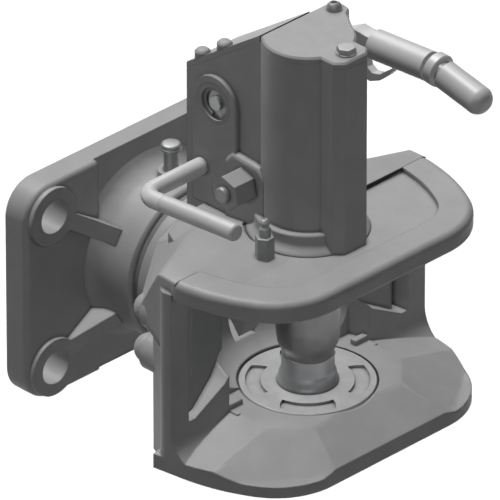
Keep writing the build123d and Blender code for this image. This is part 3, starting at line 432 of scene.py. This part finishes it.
# Grease nipple of the jaw
# A turned adapter with a long hexagon foot, screwed into the deck, and the nipple's neck and ball on
# top of it, zinc flake coated like the fitting on the neck.
nipple_thread_mm = 6.0
nipple_screw_r, nipple_neck_r, nipple_waist_r, nipple_ball_r = 3.0, 3.5, 2.2, 3.3
nipple_hexagon_mm = 10.0
nipple_hexagon_high = 15.0


def hexagon_into(bm, across, low, high, centre, chamfer=0.8):
    """A hexagon prism, in millimetres along Z, with its upper rim chamfered, set at a centre."""
    before = set(bm.verts)
    radius = across / 2 / math.cos(math.radians(30)) / 1000
    flat = bmesh.ops.create_circle(bm, cap_ends=True, radius=radius, segments=6,
                                   matrix=Matrix.Translation((0, 0, low / 1000)))
    face = flat["verts"][0].link_faces[0]
    grown = bmesh.ops.extrude_face_region(bm, geom=[face], use_keep_orig=True)
    top = [v for v in grown["geom"] if isinstance(v, bmesh.types.BMVert)]
    bmesh.ops.translate(bm, verts=top, vec=(0, 0, (high - low) / 1000))
    rim = [e for e in bm.edges if all(v in top for v in e.verts)]
    bmesh.ops.bevel(bm, geom=rim, offset=chamfer / 1000, offset_type="OFFSET", affect="EDGES", segments=2,
                    profile=0.5, material=-1)
    bmesh.ops.translate(bm, verts=[v for v in bm.verts if v not in before], vec=centre)


nipple_low, nipple_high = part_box("jaw_grease_nipple")
nipple_seat = nipple_low.z + nipple_thread_mm / 1000
rise = (nipple_high.z - nipple_seat) * 1000
nipple_foot = axis_point("jaw_grease_nipple", nipple_seat)
bm = bmesh.new()
hexagon_into(bm, nipple_hexagon_mm, 0, nipple_hexagon_high, nipple_foot)
spin_into(bm, [(0, -nipple_thread_mm), (nipple_screw_r, -nipple_thread_mm),
               (nipple_screw_r, nipple_hexagon_high - 1.0), (nipple_neck_r, nipple_hexagon_high + 0.2),
               (nipple_neck_r, rise - 6.4), (nipple_neck_r - 0.6, rise - 5.6), (nipple_waist_r, rise - 5.0),
               (nipple_waist_r, rise - 3.6), (nipple_ball_r, rise - 2.4), (nipple_ball_r, rise - 1.6),
               (nipple_waist_r, rise - 0.3), (nipple_waist_r / 2, rise), (0.7, rise - 0.5),
               (0, rise - 0.7)], nipple_foot)
shown(closed(bm), "jaw_nipple", "jaw_grease_nipple", "head", zinc, crease_deg=38)


# Lift housing with its covers
# The tower, front column and rear box are one casting on a round foot, coated with the jaw. The cover
# of the tower and the sloping lid of the box are laser-cut plates, coated smooth.
finished("lift_housing", "head", cast_coat, crease_deg=32)
finished("tower_cover", "head", sheet_coat)
finished("rear_cover", "head", sheet_coat)


# Bolts and screws of the housing
# Zinc flake coated steel: a hexagon bolt down the front column, a low round-headed screw in the cover's
# lug and two hexagon screws inside the box. The lid's two drum-headed screws are coated with the box.
bolt_head_mm = 4.5
bolt_across_mm = 10.0
bolt_shank_r, bolt_washer_r = 4.0, 5.8
lug_shank_r, lug_head_r, lug_socket_r = 3.0, 4.6, 1.8

bolt_low, bolt_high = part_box("column_bolt")
bolt_seat = axis_point("column_bolt", bolt_high.z - bolt_head_mm / 1000)
bolt_end = (bolt_low.z - bolt_seat.z) * 1000
bm = bmesh.new()
spin_into(bm, [(0, bolt_end), (bolt_shank_r - 0.6, bolt_end), (bolt_shank_r, bolt_end + 0.6),
               (bolt_shank_r, -0.2), (bolt_washer_r - 0.3, 0), (bolt_washer_r, 0.3), (bolt_washer_r, 0.9),
               (bolt_washer_r - 0.4, 1.0), (0, 1.0)], bolt_seat)
hexagon_into(bm, bolt_across_mm, 0.9, bolt_head_mm, bolt_seat, chamfer=0.7)
shown(closed(bm), "column_bolt_shown", "column_bolt", "head", zinc, crease_deg=38)

lug_low, lug_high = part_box("lug_screw")
lug_seat = axis_point("lug_screw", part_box("tower_cover")[1].z)
lug_end = (lug_low.z - lug_seat.z) * 1000
lug_top = (lug_high.z - lug_seat.z) * 1000
bm = bmesh.new()
spin_into(bm, [(0, lug_end), (lug_shank_r - 0.5, lug_end), (lug_shank_r, lug_end + 0.5), (lug_shank_r, 0),
               (lug_head_r, 0), (lug_head_r, 1.2), (lug_head_r - 0.4, 2.8), (lug_head_r - 1.4, 3.9),
               (lug_socket_r + 0.5, lug_top - 0.1), (lug_socket_r + 0.1, lug_top - 0.2),
               (lug_socket_r, lug_top - 1.6), (0, lug_top - 2.0)], lug_seat)
shown(closed(bm), "lug_screw_shown", "lug_screw", "head", zinc, crease_deg=38)
finished("rear_cover_screws", "head", cast_coat)
finished("floor_screws", "head", zinc)


# Lift shaft, arm and catch disc
# The cross shaft is ground bar in two steel-backed bushes, whose grey backs show at the ends. The lever
# turns it, the slotted arm lifts the pin, the pawl holds the notched disc, and a coil spring turns it back.
wire_film_mm = 2.5


def spring_wire(name, colour):
    """Oil-hardened spring wire: dark, with a soft gloss."""
    material, tree = new_material(name)
    place = add_node(tree, "TexCoord").outputs["Object"]
    film = add_node(tree, "TexNoise", {"Vector": place, "Scale": 1000 / wire_film_mm, "Detail": 3.0})
    gloss = add_node(tree, "MapRange", {"Value": film.outputs["Fac"], "From Min": noise_span[0],
                                        "From Max": noise_span[1], "To Min": 0.28, "To Max": 0.42})
    surface = add_node(tree, "BsdfPrincipled", {"Base Color": linear(colour), "Metallic": 1.0,
                                                "Roughness": gloss.outputs["Result"]})
    add_node(tree, "OutputMaterial", {"Surface": surface.outputs["BSDF"]})
    return material


backed_steel = coated_steel("steel_backed_bush", "#858686", grain_mm=0.8, grain=0.05, wave=0.08,
                            edge_mm=0.5, rough=(0.4, 0.5))
shaft_steel = turned_steel("ground_shaft_steel", "#9a9b9c", 0.4, groove_mm=1.0, groove=0.04)
wire = spring_wire("oil_hardened_spring_wire", "#55544f")
for node in ("lift_shaft", "lift_arm", "catch_disc"):
    finished(node, "lifter", shaft_steel)
finished("shaft_circlip", "head", backed_steel)
finished("shaft_bushes", "head", backed_steel)
finished("lever_washer", "lifter", zinc)
finished("closing_spring", "head", wire, crease_deg=60)


# Hand lever with its grip
# The lever is a steel forging with a flat arm and a bent round handle, powder coated. The grip is three
# mouldings of tough grey plastic pushed over the handle: a sleeve, a ring at the bend and an end sleeve.
spark_grain_mm = 0.769
plastic_flow_mm = 16.7


def moulded_plastic(name, colour):
    """Injection moulded polyamide: satin, with the fine spark texture of the mould."""
    material, tree = new_material(name)
    place = add_node(tree, "TexCoord").outputs["Object"]
    spark = add_node(tree, "TexNoise", {"Vector": place, "Scale": 1000 / spark_grain_mm, "Detail": 2.0,
                                        "Roughness": 0.7})
    flow = add_node(tree, "TexNoise", {"Vector": place, "Scale": 1000 / plastic_flow_mm, "Detail": 2.0})
    edge = add_node(tree, "Bevel", {"Radius": 0.0006}, samples=4)
    bump = add_node(tree, "Bump", {"Height": spark.outputs["Fac"], "Strength": 0.12, "Distance": 0.0002,
                                   "Normal": edge.outputs["Normal"]})
    surface = add_node(tree, "BsdfPrincipled", {
        "Base Color": tinted(tree, colour, flow.outputs["Fac"], 0.97, 1.03), "Roughness": 0.42,
        "Normal": bump.outputs["Normal"], "IOR": 1.53})
    add_node(tree, "OutputMaterial", {"Surface": surface.outputs["BSDF"]})
    return material


forged_coat = coated_steel("powder_coated_forging", "#bababa", grain_mm=1.0, grain=0.06, wave=0.1,
                           edge_mm=1.0, rough=(0.3, 0.4), gloss_level=0.5)
plastic = moulded_plastic("moulded_polyamide", "#aeaeae")
finished("hand_lever", "lifter", forged_coat)
for node in ("lever_grip", "grip_ring", "grip_end"):
    finished(node, "lifter", plastic, crease_deg=38)


# Release rod with its handle, pawl and spring
# A bent round bar, powder coated like the lever, that turns the pawl off the catch disc. A thin plastic
# sleeve covers its handle.
finished("release_rod", "release", forged_coat)
finished("release_grip", "release", plastic, crease_deg=38)
finished("catch_pawl", "release", hard_steel)
finished("pawl_spring", "head", wire, crease_deg=60)


# Mouth trigger
# A forged finger, coated with the casting, that hangs in the mouth's back wall on its own hardened pin.
# The drawbar eye pushes it back, and it tips the pawl.
finished("mouth_trigger", "trigger", cast_coat)
finished("trigger_pin", "head", hard_steel)


# Control pin with its guide
# A small round pin that stands out of its hexagon guide while the coupling isn't locked, pushed by a
# coil spring inside. The turned guide is coated with the housing, and the pin is zinc flake coated.
finished("control_guide", "head", cast_coat)
finished("control_pin", "control", zinc)
spring = finished("control_spring", "head", wire, crease_deg=60)
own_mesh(spring)


# Floor
# A plain pale matt floor under the flange's lower edge, far wider than the picture. It throws no light
# back on the object's underside.
floor_half_m = 12.0
floor_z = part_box("flange_casting")[0].z
floor_paint, tree = new_material("pale_matt_floor")
surface = add_node(tree, "BsdfPrincipled", {"Base Color": linear("#f7f7f7"), "Roughness": 0.9,
                                            "Specular IOR Level": 0.2})
add_node(tree, "OutputMaterial", {"Surface": surface.outputs["BSDF"]})
bm = bmesh.new()
bmesh.ops.create_grid(bm, x_segments=1, y_segments=1, size=floor_half_m)
bmesh.ops.translate(bm, verts=bm.verts, vec=(0, 0, floor_z))
floor = object_of(bm, "floor", floor_paint, crease_deg=30)
floor.visible_diffuse = False


# Camera
# A very long lens, 45 degrees round and 30 degrees up, gives the parallel view of the photo. It looks at
# the target, and the picture is frame_width_m wide there.
camera_azimuth = math.radians(45)
camera_height = math.radians(30)
target = Vector((0.115, -0.0169, 0.0412))
frame_width_m = 0.2857
toward = Vector((math.cos(camera_height) * math.sin(camera_azimuth),
                 -math.cos(camera_height) * math.cos(camera_azimuth), math.sin(camera_height)))
camera_data = bpy.data.cameras.new("camera")
camera_data.lens = 1000
camera_data.sensor_width = 36
camera_data.clip_end = 60
camera = bpy.data.objects.new("camera", camera_data)
camera.location = target + toward * (frame_width_m * camera_data.lens / camera_data.sensor_width)
camera.rotation_euler = (-toward).to_track_quat("-Z", "Y").to_euler()
bpy.context.scene.collection.objects.link(camera)
bpy.context.scene.camera = camera
bpy.context.scene.view_settings.view_transform = "Standard"


# Light
# Soft studio light, most of it from above and behind and a little from the camera's side. One more lamp
# behind gives the gloss on upper faces alone.
lit_middle = (0.12, 0, 0.05)
overhead = (-0.55, 0.0, 1.5)
world_strength = 0.06


def lamp(name, kind, source, strength, size, shadows=True):
    """A lamp turned to the object's middle. A sun's size is in degrees, an area lamp's in metres."""
    data = bpy.data.lights.new(name, kind)
    data.energy = strength
    data.use_shadow = shadows
    if kind == "SUN":
        data.angle = math.radians(size)
    else:
        data.shape = "SQUARE"
        data.size = size
    made = bpy.data.objects.new(name, data)
    made.location = source
    made.rotation_euler = (Vector(lit_middle) - Vector(source)).to_track_quat("-Z", "Y").to_euler()
    bpy.context.scene.collection.objects.link(made)
    return made


lamp("top_lamp", "AREA", overhead, strength=3.4, size=1.1)
lamp("top_fill", "SUN", overhead, strength=3.45, size=20, shadows=False)
lamp("front_fill", "SUN", Vector(lit_middle) + toward, strength=0.52, size=30, shadows=False)
gloss_lamp = lamp("gloss_lamp", "AREA", (-0.65, 0.65, 1.25), strength=11, size=0.9)
gloss_lamp.visible_diffuse = False

world = bpy.data.worlds.new("surrounding")
world.use_nodes = True
background = world.node_tree.nodes["Background"]
background.inputs["Color"].default_value = linear("#ffffff")
background.inputs["Strength"].default_value = world_strength
bpy.context.scene.world = world
